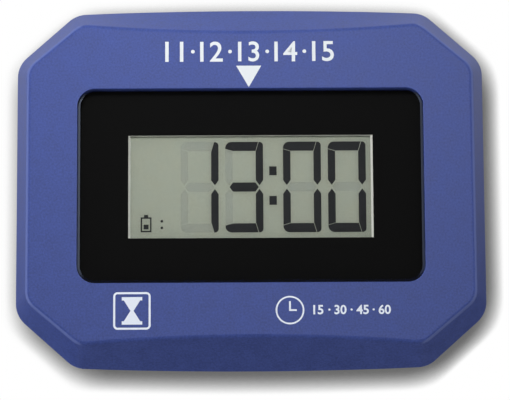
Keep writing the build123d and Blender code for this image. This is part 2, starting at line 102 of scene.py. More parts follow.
# %% Plain view and enough see-through steps
bpy.context.scene.view_settings.view_transform = "Standard"
bpy.context.scene.cycles.transparent_max_bounces = 24
print("view:", bpy.context.scene.view_settings.view_transform)

# %% [markdown]
# ## Colours
# A colour picker shows a colour the way a screen stores it, while shaders add and multiply
# light, which needs linear numbers. One small helper turns the first into the second, so
# every colour below can be written as the familiar 0 to 255.

# %% A helper for colours
def tone(red, green, blue):
    """A screen colour of 0 to 255 a channel, as the linear colour that a shader wants."""
    channels = [value / 255 for value in (red, green, blue)]
    linear = [c / 12.92 if c <= 0.04045 else ((c + 0.055) / 1.055) ** 2.4 for c in channels]
    return (*linear, 1.0)


print("housing blue, linear:", [round(c, 3) for c in tone(59, 75, 140)])

# %% [markdown]
# ## Effects that several finishes share
# Moulded plastic gets its matt look from a mould that sparks have pitted: low, round, evenly
# spread grains. Blue shell, grey buttons and black chips all show it at their own scale, so
# it is one node group with inputs, and not a copy in each material. Mottle changes the
# colour by pits and wide clouds together, and speckle by the pits alone. The group only
# puts out numbers, and each material decides which of them reach its colour, roughness and
# bump.
#
# Three small helpers keep the node trees short: one makes any node, one a Math node, and
# one a Map Range node. The last two hand back the socket with the result.

# %% Helpers to build node trees
def add_node(tree, kind, inputs=None, **settings):
    """A new node with some settings, and plain values or links for some of its inputs."""
    node = tree.nodes.new(kind)
    for name, value in settings.items():
        setattr(node, name, value)
    for name, value in (inputs or {}).items():
        if isinstance(value, bpy.types.NodeSocket):
            tree.links.new(value, node.inputs[name])
        else:
            node.inputs[name].default_value = value
    return node


def maths(tree, operation, *values):
    """The result of a sum, product or other operation on plain values or links."""
    return add_node(tree, "ShaderNodeMath", dict(enumerate(values)),
                    operation=operation).outputs[0]


def ramp(tree, value, low, high, to_low=0.0, to_high=1.0):
    """A value that runs from low to high, turned into one that runs from to_low to to_high."""
    return add_node(tree, "ShaderNodeMapRange",
                    {"Value": value, "From Min": low, "From Max": high, "To Min": to_low,
                     "To Max": to_high}).outputs[0]


def new_group(name, inputs, outputs):
    """An empty shader group with number inputs and outputs, and its two end nodes."""
    group = bpy.data.node_groups.new(name, "ShaderNodeTree")
    for title, value in inputs.items():
        socket = group.interface.new_socket(title, in_out="INPUT",
                                            socket_type="NodeSocketFloat")
        socket.default_value = value
    for title in outputs:
        group.interface.new_socket(title, in_out="OUTPUT", socket_type="NodeSocketFloat")
    start = group.nodes.new("NodeGroupInput")
    end = group.nodes.new("NodeGroupOutput")
    return group, start, end


def object_point(tree):
    """The Object coordinates, which are metres in the disc's own frame."""
    return add_node(tree, "ShaderNodeTexCoord").outputs["Object"]


# %% The group for moulded grain
grain, start, end = new_group(
    "moulded grain", {"Grain Size": 0.0003, "Mottle": 0.1, "Speckle": 0.0},
    ("Height", "Shade", "Gloss Change"))
pitch = maths(grain, "DIVIDE", 1.0, start.outputs["Grain Size"])
pits = add_node(grain, "ShaderNodeTexNoise",
                {"Vector": object_point(grain), "Scale": pitch, "Detail": 2.0,
                 "Roughness": 0.6})
cloud_pitch = maths(grain, "MULTIPLY", pitch, 0.12)
clouds = add_node(grain, "ShaderNodeTexNoise",
                  {"Vector": object_point(grain), "Scale": cloud_pitch, "Detail": 3.0})
both = maths(grain, "ADD", pits.outputs["Fac"], clouds.outputs["Fac"])
swing = maths(grain, "SUBTRACT", both, 1.0)
mottled = maths(grain, "MULTIPLY_ADD", swing, start.outputs["Mottle"], 1.0)
pit_swing = maths(grain, "SUBTRACT", pits.outputs["Fac"], 0.5)
shade = maths(grain, "MULTIPLY_ADD", pit_swing, start.outputs["Speckle"], mottled)
grain.links.new(pits.outputs["Fac"], end.inputs["Height"])
grain.links.new(shade, end.inputs["Shade"])
grain.links.new(swing, end.inputs["Gloss Change"])
print("group:", grain.name)

# %% [markdown]
# Brushed and rolled metal is covered in fine lines that run one way. Stretching a noise
# along one axis gives them: the same pattern squeezed sixty times in one direction turns
# its round blots into streaks. Cells, contacts, screws and the crystal's can share it.

# %% The group for brushed metal
brushed, start, end = new_group("brushed metal", {"Line Size": 0.0001}, ("Height", "Shade"))
pitch = maths(brushed, "DIVIDE", 1.0, start.outputs["Line Size"])
stretch = add_node(brushed, "ShaderNodeVectorMath",
                   {0: object_point(brushed), 1: (1.0, 1.0, 0.016)}, operation="MULTIPLY")
lines = add_node(brushed, "ShaderNodeTexNoise",
                 {"Vector": stretch.outputs[0], "Scale": pitch, "Detail": 3.0})
metal_shade = ramp(brushed, lines.outputs["Fac"], 0.3, 0.7, to_low=0.85, to_high=1.1)
brushed.links.new(lines.outputs["Fac"], end.inputs["Height"])
brushed.links.new(metal_shade, end.inputs["Shade"])
print("group:", brushed.name)

# %% [markdown]
# Clear sheets are never quite clean: handling and wiping leave faint, wide patches where
# the gloss is a little softer. The window, the display glass and the polarising film share
# a group for that. It is kept very weak, because the real window looks evenly black.

# %% The group for wiped gloss
wiped, start, end = new_group("wiped gloss", {"Roughness": 0.05, "Change": 0.02},
                              ("Roughness",))
smears = add_node(wiped, "ShaderNodeTexNoise",
                  {"Vector": object_point(wiped), "Scale": 90.0, "Detail": 4.0,
                   "Distortion": 0.6})
smear_swing = maths(wiped, "SUBTRACT", smears.outputs["Fac"], 0.5)
sum_up = maths(wiped, "MULTIPLY_ADD", smear_swing, start.outputs["Change"],
               start.outputs["Roughness"])
wiped.links.new(sum_up, end.inputs["Roughness"])
print("group:", wiped.name)

# %% [markdown]
# The rounded creases between the face and the bevels at the disc's sides get a painted
# highlight: a paler colour stands in for the light they catch. The slope tells where they
# are: the flats face straight to the front or far to the side, and only the rounding between
# them has a slope in between.

# %% The group for the painted crease highlight
crease_highlight, start, end = new_group("painted crease highlight", {"Strength": 1.0}, ("Edge",))
facing = add_node(crease_highlight, "ShaderNodeSeparateXYZ",
                  {0: add_node(crease_highlight, "ShaderNodeTexCoord").outputs["Normal"]})
forward = maths(crease_highlight, "ABSOLUTE", facing.outputs["Y"])
sideways = maths(crease_highlight, "ABSOLUTE", facing.outputs["X"])
off_bevel = ramp(crease_highlight, forward, 0.48, 0.56, to_high=start.outputs["Strength"])
off_face = ramp(crease_highlight, forward, 0.96, 0.86)
off_ends = ramp(crease_highlight, sideways, 0.1, 0.25)
edge = maths(crease_highlight, "MULTIPLY", maths(crease_highlight, "MULTIPLY", off_bevel, off_face), off_ends)
crease_highlight.links.new(edge, end.inputs["Edge"])
print("group:", crease_highlight.name)

# %% [markdown]
# ## Finishes
# A finish is a Principled shader with the shared effects plugged in. Numbers that are the
# same all over a piece, such as how strongly it mirrors, are set on the shader itself.
# Moulded plastics differ only in colour, grain and gloss, so one helper makes them all.

# %% Moulded plastics
def scaled_colour(tree, colour, shade):
    """A colour multiplied by a number that changes over the surface."""
    mix = add_node(tree, "ShaderNodeVectorMath", {0: colour[:3], "Scale": shade},
                   operation="SCALE")
    return mix.outputs[0]


def blended(tree, share, first, second):
    """A mix of two colours: a share of 0 gives the first, and 1 the second."""
    return add_node(tree, "ShaderNodeMix", {0: share, 6: first, 7: second},
                    data_type="RGBA").outputs[2]


def new_material(name):
    """An empty node material, and its output node."""
    material = bpy.data.materials.new(name)
    material.use_nodes = True
    material.node_tree.nodes.clear()
    out = material.node_tree.nodes.new("ShaderNodeOutputMaterial")
    return material, material.node_tree, out


def moulded(name, colour, grain_size=0.0003, mottle=0.1, roughness=0.5, gloss_swing=0.1,
            depth=0.00001, strength=0.4, specular=0.5, speckle=0.0, crease_highlight_colour=None):
    """A matt or satin plastic with the mould's grain in its colour, gloss and bump."""
    material, tree, out = new_material(name)
    effect = add_node(tree, "ShaderNodeGroup", node_tree=grain)
    effect.inputs["Grain Size"].default_value = grain_size
    effect.inputs["Mottle"].default_value = mottle
    effect.inputs["Speckle"].default_value = speckle
    rough = maths(tree, "MULTIPLY_ADD", effect.outputs["Gloss Change"], gloss_swing, roughness)
    bump = add_node(tree, "ShaderNodeBump",
                    {"Height": effect.outputs["Height"], "Strength": strength,
                     "Distance": depth})
    base = scaled_colour(tree, colour, effect.outputs["Shade"])
    # A paler colour on the rounded creases, when one is given: a painted highlight.
    if crease_highlight_colour:
        edge = add_node(tree, "ShaderNodeGroup", node_tree=crease_highlight)
        base = blended(tree, edge.outputs["Edge"], base, crease_highlight_colour)
    shader = add_node(tree, "ShaderNodeBsdfPrincipled",
                      {"Base Color": base, "Roughness": rough,
                       "Normal": bump.outputs[0], "Specular IOR Level": specular})
    tree.links.new(shader.outputs[0], out.inputs["Surface"])
    return material


finishes = {
    # The blue shell's rounded creases carry a painted highlight in a paler blue.
    "blue_shell": moulded("blue shell", tone(59, 75, 140), grain_size=0.00045, mottle=0.32,
                          roughness=0.46, depth=0.00003, specular=0.24, speckle=0.5,
                          crease_highlight_colour=tone(88, 102, 162)),
    "button_grey": moulded("button grey", tone(58, 61, 68), roughness=0.5),
    "black_film": moulded("black film", tone(20, 20, 20), grain_size=0.0006, mottle=0.05,
                          roughness=0.6, strength=0.05, specular=0.0),
    "adhesive": moulded("adhesive", tone(34, 34, 34), grain_size=0.0008, roughness=0.7),
    "pale_frame": moulded("pale frame", tone(222, 223, 216), grain_size=0.0003, mottle=0.05,
                          roughness=0.45),
    "elastomer": moulded("elastomer", tone(150, 150, 156), grain_size=0.0005, roughness=0.75),
    "chip_black": moulded("chip black", tone(36, 36, 39), grain_size=0.0002, roughness=0.6),
    "ceramic": moulded("ceramic", tone(176, 152, 124), grain_size=0.0002, roughness=0.5),
    "plunger_white": moulded("plunger white", tone(226, 224, 214), roughness=0.4),
}
print("plastics:", sorted(finishes))

# %% [markdown]
# ## Metals
# Coin cells, springs, screws and the crystal's can are the same few kinds of sheet and
# wire. They share one helper, which lays the brushed lines into the colour and the bump.

# %% Metals
def metal(name, colour, line_size=0.0001, roughness=0.3):
    """A plated or rolled metal with fine lines along its length."""
    material, tree, out = new_material(name)
    effect = add_node(tree, "ShaderNodeGroup", node_tree=brushed)
    effect.inputs["Line Size"].default_value = line_size
    bump = add_node(tree, "ShaderNodeBump",
                    {"Height": effect.outputs["Height"], "Strength": 0.3,
                     "Distance": 0.000004})
    rough = maths(tree, "MULTIPLY_ADD", effect.outputs["Height"], 0.15, roughness - 0.07)
    shader = add_node(tree, "ShaderNodeBsdfPrincipled",
                      {"Base Color": scaled_colour(tree, colour, effect.outputs["Shade"]),
                       "Metallic": 1.0, "Roughness": rough, "Normal": bump.outputs[0]})
    tree.links.new(shader.outputs[0], out.inputs["Surface"])
    return material


finishes["steel"] = metal("can steel", tone(196, 197, 200))
finishes["cell_metal"] = metal("cell steel", tone(206, 206, 208), line_size=0.0002,
                               roughness=0.24)
finishes["contact_metal"] = metal("spring metal", tone(214, 206, 190), roughness=0.28)
finishes["screw_steel"] = metal("screw steel", tone(186, 188, 194), line_size=0.00008,
                                roughness=0.34)
print("finishes so far:", len(finishes))

# %% [markdown]
# ## Clear sheets
# Real glass bends light, and a ray tracer then finds it hard to light what lies close
# behind it. These sheets are thin and flat, so they bend almost nothing. Each is made as a
# see-through shader with a mirror mixed in by Fresnel, which is strong only at a slant.
# Light then reaches the display as it does through the real window. The window's left and
# right ends are the exception: a matt grey on them stands in for the thin glints they show,
# a painted highlight.

# %% Window, display glass and polariser
def clear_sheet(name, tint, roughness, ior, painted_glint_colour=None):
    """A flat clear sheet: what lies behind it, tinted, under a mirror that follows Fresnel.

    Where the surface slopes to the left or right, a colour given for the ends makes it matt: a
    painted glint.
    """
    material, tree, out = new_material(name)
    effect = add_node(tree, "ShaderNodeGroup", node_tree=wiped)
    effect.inputs["Roughness"].default_value = roughness
    see_through = add_node(tree, "ShaderNodeBsdfTransparent", {"Color": tint})
    mirror = add_node(tree, "ShaderNodeBsdfGlossy",
                      {"Color": tone(255, 255, 255), "Roughness": effect.outputs["Roughness"]})
    fresnel = add_node(tree, "ShaderNodeFresnel", {"IOR": ior})
    face = add_node(tree, "ShaderNodeNewGeometry")
    entering = maths(tree, "SUBTRACT", 1.0, face.outputs["Backfacing"])
    share = maths(tree, "MULTIPLY", fresnel.outputs[0], entering)
    mix = add_node(tree, "ShaderNodeMixShader",
                   {0: share, 1: see_through.outputs[0], 2: mirror.outputs[0]})
    # A matt grey on the ends that slope sideways: a painted glint.
    if painted_glint_colour:
        slope = add_node(tree, "ShaderNodeSeparateXYZ",
                         {0: add_node(tree, "ShaderNodeTexCoord").outputs["Normal"]})
        sideways = maths(tree, "ABSOLUTE", slope.outputs["X"])
        painted_glint_mask = ramp(tree, sideways, 0.45, 0.65)
        matt = add_node(tree, "ShaderNodeBsdfDiffuse", {"Color": painted_glint_colour})
        mix = add_node(tree, "ShaderNodeMixShader",
                       {0: painted_glint_mask, 1: mix.outputs[0], 2: matt.outputs[0]})
    tree.links.new(mix.outputs[0], out.inputs["Surface"])
    return material


# The window's left and right ends get a grey painted glint.
finishes["clear_pane"] = clear_sheet("clear pane", tone(255, 255, 255), 0.04, 1.49,
                                     painted_glint_colour=tone(92, 99, 112))
finishes["display_glass"] = clear_sheet("display glass", tone(255, 255, 255), 0.02, 1.15)
finishes["polariser"] = clear_sheet("polariser", tone(253, 254, 252), 0.1, 1.15)
print("clear sheets:", ["clear_pane", "display_glass", "polariser"])

# %% [markdown]
# ## The reflector behind the display
# The grey-green of a liquid-crystal display is the colour of the reflecting film at its
# back, seen through the polariser. Close up it sparkles a little and is not quite even: a
# fine noise gives the sparkle, and a wide one lets the green drift slightly to grey.

# %% Reflector
def reflecting_film(name, warm, cool):
    """A satin film whose colour drifts between two close tones, with a fine sparkle."""
    material, tree, out = new_material(name)
    point = object_point(tree)
    drift = add_node(tree, "ShaderNodeTexNoise",
                     {"Vector": point, "Scale": 260.0, "Detail": 3.0})
    sparkle = add_node(tree, "ShaderNodeTexNoise", {"Vector": point, "Scale": 3200.0,
                                                   "Detail": 1.0})
    blend = blended(tree, drift.outputs["Fac"], warm, cool)
    lift = ramp(tree, sparkle.outputs["Fac"], 0.3, 0.7, to_low=0.95, to_high=1.05)
    colour = add_node(tree, "ShaderNodeVectorMath",
                      {0: blend, "Scale": lift}, operation="SCALE")
    shader = add_node(tree, "ShaderNodeBsdfPrincipled",
                      {"Base Color": colour.outputs[0], "Roughness": 0.55,
                       "Specular IOR Level": 0.2})
    tree.links.new(shader.outputs[0], out.inputs["Surface"])
    return material


finishes["reflector"] = reflecting_film("reflector", tone(173, 174, 161), tone(167, 173, 166))
print("reflector made")

# %% [markdown]
# ## The circuit board
# Under the green lacquer the copper tracks show as slightly lighter bands. A brick pattern
# with long bricks gives straight, regular runs, which is what tracks look like from afar.

# %% Circuit board
def lacquered_board(name, lacquer, track):
    """Green lacquer over copper, with the tracks showing through as paler bands."""
    material, tree, out = new_material(name)
    upright = add_node(tree, "ShaderNodeMapping", {"Vector": object_point(tree),
                                                   "Rotation": (math.radians(90), 0.0, 0.0)})
    runs = add_node(tree, "ShaderNodeTexBrick",
                    {"Vector": upright.outputs[0], "Color1": lacquer, "Color2": lacquer,
                     "Mortar": track, "Scale": 400.0, "Mortar Size": 0.12,
                     "Brick Width": 6.0, "Row Height": 0.8})
    weave = add_node(tree, "ShaderNodeGroup", node_tree=grain)
    weave.inputs["Grain Size"].default_value = 0.0004
    bump = add_node(tree, "ShaderNodeBump", {"Height": runs.outputs["Fac"], "Strength": 0.3,
                                             "Distance": 0.00002})
    colour = add_node(tree, "ShaderNodeVectorMath",
                      {0: runs.outputs["Color"], "Scale": weave.outputs["Shade"]},
                      operation="SCALE")
    shader = add_node(tree, "ShaderNodeBsdfPrincipled",
                      {"Base Color": colour.outputs[0], "Roughness": 0.3,
                       "Normal": bump.outputs[0]})
    tree.links.new(shader.outputs[0], out.inputs["Surface"])
    return material


finishes["board_green"] = lacquered_board("board green", tone(24, 92, 58), tone(44, 122, 78))
print("finishes:", len(finishes))

# %% [markdown]
# ## Put the finishes on the model
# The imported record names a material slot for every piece. Assigning a finish to each slot
# dresses all the pieces in one loop, and a missing slot would stop the script at once.

# %% Dress the model's pieces
for part in frame["record"]["subparts"]:
    piece = nodes[part["node"]]
    piece.data.materials.clear()
    piece.data.materials.append(finishes[part["material_slot"]])

# %% [markdown]
# ## Printed marks
# The white marks on the face are pad printed: a film of ink a hundredth of a millimetre
# thick. Painting them into the blue material would blur them as soon as it is baked to an
# image, so they are thin solids that stand a hair above the face and sink a little into
# it. Each starts as a flat plate facing the front, is trimmed by straight cuts, and is
# given its thickness last. The lower marks are printed in a slightly cooler white.

# %% Helpers for flat marks
ink_front = -0.004 * mm
ink_thickness = 0.02 * mm
facing_front = (math.pi / 2, 0.0, 0.0)


def deselect_all():
    """Operators act on all that is selected, so each step starts from nothing."""
    bpy.ops.object.select_all(action="DESELECT")


def plate(name, low, high, depth):
    """A flat plate between two corners given as (x, z) in mm, facing the front."""
    deselect_all()
    middle = ((low[0] + high[0]) / 2 * mm, depth, (low[1] + high[1]) / 2 * mm)
    bpy.ops.mesh.primitive_plane_add(size=1.0, location=middle, rotation=facing_front)
    piece = bpy.context.object
    piece.name = piece.data.name = name
    piece.scale = ((high[0] - low[0]) * mm, (high[1] - low[1]) * mm, 1.0)
    bpy.ops.object.transform_apply(location=True, rotation=True, scale=True)
    return piece


def trim(piece, start, finish, depth):
    """Cut a plate along a line from start to finish, (x, z) in mm, keeping its left side."""
    along = Vector((finish[0] - start[0], 0.0, finish[1] - start[1])).normalized()
    outward = Vector((along.z, 0.0, -along.x))
    bpy.context.view_layer.objects.active = piece
    bpy.ops.object.mode_set(mode="EDIT")
    bpy.ops.mesh.select_all(action="SELECT")
    bpy.ops.mesh.bisect(plane_co=(start[0] * mm, depth, start[1] * mm), plane_no=outward,
                        clear_outer=True)
    bpy.ops.object.mode_set(mode="OBJECT")


def round_corners(piece, radius, chosen=None, segments=6):
    """Round the corners of a plate: all of them, or those for which chosen(x, z) holds."""
    bpy.context.view_layer.objects.active = piece
    bpy.ops.object.mode_set(mode="EDIT")
    bpy.ops.mesh.select_mode(type="VERT")
    bpy.ops.mesh.select_all(action="DESELECT")
    bpy.ops.object.mode_set(mode="OBJECT")
    for corner in piece.data.vertices:
        corner.select = chosen is None or chosen(corner.co.x / mm, corner.co.z / mm)
    bpy.ops.object.mode_set(mode="EDIT")
    bpy.ops.mesh.bevel(affect="VERTICES", offset=radius * mm, segments=segments)
    bpy.ops.object.mode_set(mode="OBJECT")


def thicken(piece, thickness):
    """Give a flat piece its thickness, away from the front, with a modifier."""
    bpy.context.view_layer.objects.active = piece
    wall = piece.modifiers.new("thickness", "SOLIDIFY")
    wall.thickness = thickness
    wall.offset = -1.0
    wall.use_even_offset = False
    bpy.ops.object.modifier_apply(modifier=wall.name)


def join_pieces(pieces, name):
    """Join several objects into one, under a name."""
    deselect_all()
    for piece in pieces:
        piece.select_set(True)
    bpy.context.view_layer.objects.active = pieces[0]
    if len(pieces) > 1:
        bpy.ops.object.join()
    pieces[0].name = pieces[0].data.name = name
    return pieces[0]


def finish_piece(piece, finish, body="housing"):
    """Put a finish on a piece and let it ride with its body."""
    piece.data.materials.clear()
    piece.data.materials.append(finish)
    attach(piece, body)
    size = [round(side / mm, 2) for side in piece.dimensions]
    print(piece.name, "is", size, "mm, faces:", len(piece.data.polygons))


# %% The inks
white_ink, cool_ink = [
    moulded(name, colour, grain_size=0.0004, mottle=0.04, roughness=0.5, strength=0.15)
    for name, colour in (("white ink", tone(223, 228, 232)), ("cool ink", tone(233, 240, 252)))]


def print_in(ink, piece):
    """Give a flat mark the thickness and finish of an ink."""
    thicken(piece, ink_thickness)
    finish_piece(piece, ink)


print("inks:", white_ink.name, cool_ink.name)

# %% [markdown]
# ### The pointer
# A white triangle points down at the window, as the pointer of a dial does. Trimming a
# plate along two slanted lines keeps its top edge and meets in one sharp tip.

# %% Pointer
pointer_centre = -0.31
pointer_half = 2.8
pointer_top, pointer_tip = 26.5, 21.6
pointer = plate("pointer_mark", (pointer_centre - pointer_half, pointer_tip),
                (pointer_centre + pointer_half, pointer_top), ink_front)
trim(pointer, (pointer_centre - pointer_half, pointer_top), (pointer_centre, pointer_tip),
     ink_front)
trim(pointer, (pointer_centre, pointer_tip), (pointer_centre + pointer_half, pointer_top),
     ink_front)
print_in(white_ink, pointer)

# %% [markdown]
# ### Hours on a scale
# A row of hours, as on the dial of a clockwork parking disc, stands above the pointer, with
# a dot for each half hour between them. Numbers come from a text object, which is converted
# to a mesh before its place is applied: a font's curves can't be thickened evenly.

# %% Numbers
def number(name, text, height, centre, weight=0.0):
    """A number of a given height with its middle at (x, z), in mm, as a flat mesh."""
    deselect_all()
    bpy.ops.object.text_add(rotation=facing_front)
    label = bpy.context.object
    label.data.body = text
    label.data.align_x = "CENTER"
    label.data.resolution_u = 4
    label.data.offset = weight
    bpy.ops.object.convert(target="MESH")
    bpy.ops.object.shade_flat()
    label = bpy.context.object
    label.name = label.data.name = name
    bpy.ops.object.transform_apply(location=True, rotation=True, scale=True)
    xs = [point.co.x for point in label.data.vertices]
    zs = [point.co.z for point in label.data.vertices]
    size = height * mm / (max(zs) - min(zs))
    middle = Vector(((max(xs) + min(xs)) / 2, 0.0, (max(zs) + min(zs)) / 2))
    label.scale = (size, size, size)
    label.location = Vector((centre[0] * mm, ink_front, centre[1] * mm)) - size * middle
    bpy.ops.object.transform_apply(location=True, rotation=True, scale=True)
    return label


def dot(name, radius, centre, depth=ink_front):
    """A small round dot, from a plate whose corners are rounded until they meet."""
    piece = plate(name, (centre[0] - radius, centre[1] - radius),
                  (centre[0] + radius, centre[1] + radius), depth)
    round_corners(piece, radius * 0.98)
    return piece


hour_height = 4.6
hour_row = 29.75
hour_step = 8.3
hours = ["11", "12", "13", "14", "15"]
scale_pieces = []
for place, hour in enumerate(hours):
    x = pointer_centre + (place - 2) * hour_step
    scale_pieces.append(number("hour", hour, hour_height, (x, hour_row), weight=0.01))
    if place < len(hours) - 1:
        scale_pieces.append(dot("half_hour", 0.42, (x + hour_step / 2, hour_row)))
hour_scale = join_pieces(scale_pieces, "hour_scale")
print_in(white_ink, hour_scale)

# %% [markdown]
# ### A framed hourglass
# In the lower left corner stands a small square frame with round corners. Inside it is a
# plain hourglass, the usual sign for time. The frame is a plate whose rounded outline is
# inset and whose middle is deleted.

# %% Square frame
def frame_of(piece, line):
    """Turn a plate into a frame: inset its one face, then delete what is inside."""
    bpy.context.view_layer.objects.active = piece
    bpy.ops.object.mode_set(mode="EDIT")
    bpy.ops.mesh.select_mode(type="FACE")
    bpy.ops.mesh.select_all(action="SELECT")
    bpy.ops.mesh.inset(thickness=line * mm, use_even_offset=True)
    bpy.ops.mesh.delete(type="FACE")
    bpy.ops.object.mode_set(mode="OBJECT")


sign_low, sign_high = (-30.38, -32.72), (-22.15, -24.4)
square_frame = plate("square_frame", sign_low, sign_high, ink_front)
round_corners(square_frame, 0.95)
frame_of(square_frame, 0.45)
print_in(cool_ink, square_frame)

# %% Hourglass
glass_low, glass_high = (-28.5, -31.6), (-24.0, -25.5)
bar_height, waist = 0.75, 0.35
glass_x = (glass_low[0] + glass_high[0]) / 2
glass_z = (glass_low[1] + glass_high[1]) / 2
bulb_half = (glass_high[0] - glass_low[0]) / 2 - 0.45
bulb_top = glass_high[1] - bar_height + 0.01
hourglass = [plate("bar", (glass_low[0], glass_high[1] - bar_height), glass_high, ink_front),
             plate("bar", glass_low, (glass_high[0], glass_low[1] + bar_height), ink_front)]
for side in (1, -1):
    top = glass_z + side * (bulb_top - glass_z)
    bulb = plate("bulb", (glass_x - bulb_half, min(top, glass_z)),
                 (glass_x + bulb_half, max(top, glass_z)), ink_front)
    edges = [((glass_x - bulb_half, top), (glass_x - waist, glass_z)),
             ((glass_x + waist, glass_z), (glass_x + bulb_half, top))]
    for start, finish in edges:
        if side < 0:
            start, finish = finish, start
        trim(bulb, start, finish, ink_front)
    hourglass.append(bulb)
hourglass = join_pieces(hourglass, "hourglass_mark")
print_in(cool_ink, hourglass)

# %% [markdown]
# ### A clock sign and its minutes
# In the lower right corner a thin ring with two hands stands for a clock, and beside it
# the quarters of an hour are numbered. The ring is a circle, filled and inset like the
# frame, so both keep an even line.

# %% Clock sign
ring_centre, ring_radius, ring_line = (8.47, -28.56), 3.16, 0.36
deselect_all()
bpy.ops.mesh.primitive_circle_add(
    vertices=64, radius=ring_radius * mm, fill_type="NGON", rotation=facing_front,
    location=(ring_centre[0] * mm, ink_front, ring_centre[1] * mm))
ring = bpy.context.object
bpy.ops.object.transform_apply(location=True, rotation=True, scale=True)
frame_of(ring, ring_line)
hand_line = 0.2
long_hand = plate("hand", (ring_centre[0] - hand_line, ring_centre[1] - hand_line),
                  (ring_centre[0] + hand_line, ring_centre[1] + 2.0), ink_front)
short_hand = plate("hand", (ring_centre[0] + hand_line, ring_centre[1] - hand_line),
                   (ring_centre[0] + 1.5, ring_centre[1] + hand_line), ink_front)
clock_sign = join_pieces([ring, long_hand, short_hand], "clock_sign")
print_in(cool_ink, clock_sign)

# %% Minutes beside the clock sign
minute_low, minute_high, minute_row, minute_height = 13.4, 30.6, -28.5, 2.1
minutes = ["15", "30", "45", "60"]
minute_pieces = []
first, last = minute_low + 1.3, minute_high - 1.3
minute_step = (last - first) / (len(minutes) - 1)
for place, text in enumerate(minutes):
    x = first + place * minute_step
    minute_pieces.append(number("minute", text, minute_height, (x, minute_row), weight=0.025))
    if place < len(minutes) - 1:
        minute_pieces.append(dot("gap", 0.24, (x + minute_step / 2, minute_row)))
minute_scale = join_pieces(minute_pieces, "minute_scale")
print_in(cool_ink, minute_scale)

# %% [markdown]
# ## The figures in the display
# A display of this kind makes every figure from seven bars. Those that are switched on are
# nearly black, and the others still show as faint grey-blue shadows. All figures have the
# same bars, so four plates and the mirror images of three of them make one figure, and the
# display's figures are copies of it. The bars lie in the narrow cell between the two sheets
# of glass, so the front glass and the window really cover them.

# %% Where the figures are
front_glass_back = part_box("front_glass")[1].y
cell_low, cell_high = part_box("rear_glass")
figure_depth = front_glass_back + 0.02 * mm
figure_thickness = 0.04 * mm
figure_width, figure_height = 8.45, 20.5
figure_middle = (cell_low.z + cell_high.z) / 2 / mm + 0.18
figure_rights = {"tens_of_hours": -7.15, "hours": 2.8, "tens_of_minutes": 15.7,
                 "minutes": 25.7}
print("figures at depth", round(figure_depth / mm, 3), "mm, middle", round(figure_middle, 2))

# %% The bars of one figure, with its left edge at 0 and its middle at 0
upright, bar = 1.65, 2.05
half = figure_height / 2
half_gap = 0.06
tip, shoulder = 0.42, 1.55
left_joint = ((0.0, half - 1.62), (upright, half - 2.1))
right_joint = ((figure_width - upright, half - 2.1), (figure_width - 1.02, half))


def beside(line, kept_side="left"):
    """A joint's line, turned if its right side is kept, and moved by half the gap."""
    start, finish = line if kept_side == "left" else (line[1], line[0])
    along = Vector((finish[0] - start[0], finish[1] - start[1])).normalized()
    move_x, move_z = -along.y * half_gap, along.x * half_gap
    return ((start[0] + move_x, start[1] + move_z), (finish[0] + move_x, finish[1] + move_z))


def pointed_end(low_x, high_x):
    """The two cuts that give an upright bar its pointed lower end."""
    middle = (low_x + high_x) / 2
    return [((low_x, shoulder), (middle, tip)), ((middle, tip), (high_x, shoulder))]


def display_bar(name, low, high, cuts, corner=None, radius=0.0):
    """One bar: a plate, straight cuts, and perhaps one round corner."""
    piece = plate(name, low, high, figure_depth)
    for start, finish in cuts:
        trim(piece, start, finish, figure_depth)
    if corner:
        round_corners(piece, radius,
                      lambda x, z: abs(x - corner[0]) + abs(z - corner[1]) < 0.01)
    return piece


def middle_cuts(low_x, high_x, reach, height):
    """The four cuts that give the middle bar its two points."""
    return [((low_x + reach, height), (low_x, 0.0)), ((low_x, 0.0), (low_x + reach, -height)),
            ((high_x - reach, -height), (high_x, 0.0)),
            ((high_x, 0.0), (high_x - reach, height))]


right_x = figure_width - upright
bars = {
    "top": display_bar("top", (0.0, half - bar), (figure_width, half),
                       [beside(left_joint), beside(right_joint)], (0.0, half), 1.4),
    "upper_left": display_bar("upper_left", (0.0, 0.0), (upright, half),
                              [beside(left_joint, "right"), *pointed_end(0.0, upright)]),
    "upper_right": display_bar("upper_right", (right_x, 0.0), (figure_width, half),
                               [beside(right_joint, "right"),
                                *pointed_end(right_x, figure_width)],
                               (figure_width, half), 0.85),
    "middle": display_bar("middle", (0.95, -bar / 2), (figure_width - 1.0, bar / 2),
                          middle_cuts(0.95, figure_width - 1.0, 0.75, bar / 2)),
}
print({name: len(piece.data.vertices) for name, piece in bars.items()})

# %% Mirror the lower bars from the upper ones
def copied(piece, name):
    """A copy of a piece with a mesh of its own."""
    deselect_all()
    piece.select_set(True)
    bpy.context.view_layer.objects.active = piece
    bpy.ops.object.duplicate(linked=False)
    twin = bpy.context.object
    twin.name = twin.data.name = name
    return twin


for upper, lower in (("top", "bottom"), ("upper_left", "lower_left"),
                     ("upper_right", "lower_right")):
    twin = copied(bars[upper], lower)
    bpy.ops.object.mode_set(mode="EDIT")
    bpy.ops.mesh.select_all(action="SELECT")
    bpy.ops.transform.resize(value=(1.0, 1.0, -1.0), center_override=(0.0, figure_depth, 0.0))
    bpy.ops.mesh.flip_normals()
    bpy.ops.object.mode_set(mode="OBJECT")
    bars[lower] = twin
print("bars in a figure:", len(bars))

# %% [markdown]
# The display shows one o'clock in the afternoon, 13:00. For every figure the bars that are
# on go into one list and the rest into another, and each list is joined into one piece.

# %% Set the time
shapes = {"1": ("upper_right", "lower_right"),
          "3": ("top", "upper_right", "middle", "lower_right", "bottom"),
          "0": ("top", "upper_left", "upper_right", "lower_left", "lower_right", "bottom")}
shown = {"tens_of_hours": "1", "hours": "3", "tens_of_minutes": "0", "minutes": "0"}


def moved(piece, x, z):
    """Move a piece by (x, z) in mm, and keep its object at the origin."""
    deselect_all()
    piece.select_set(True)
    bpy.context.view_layer.objects.active = piece
    piece.location = (x * mm, 0.0, z * mm)
    bpy.ops.object.transform_apply(location=True, rotation=True, scale=True)
    return piece


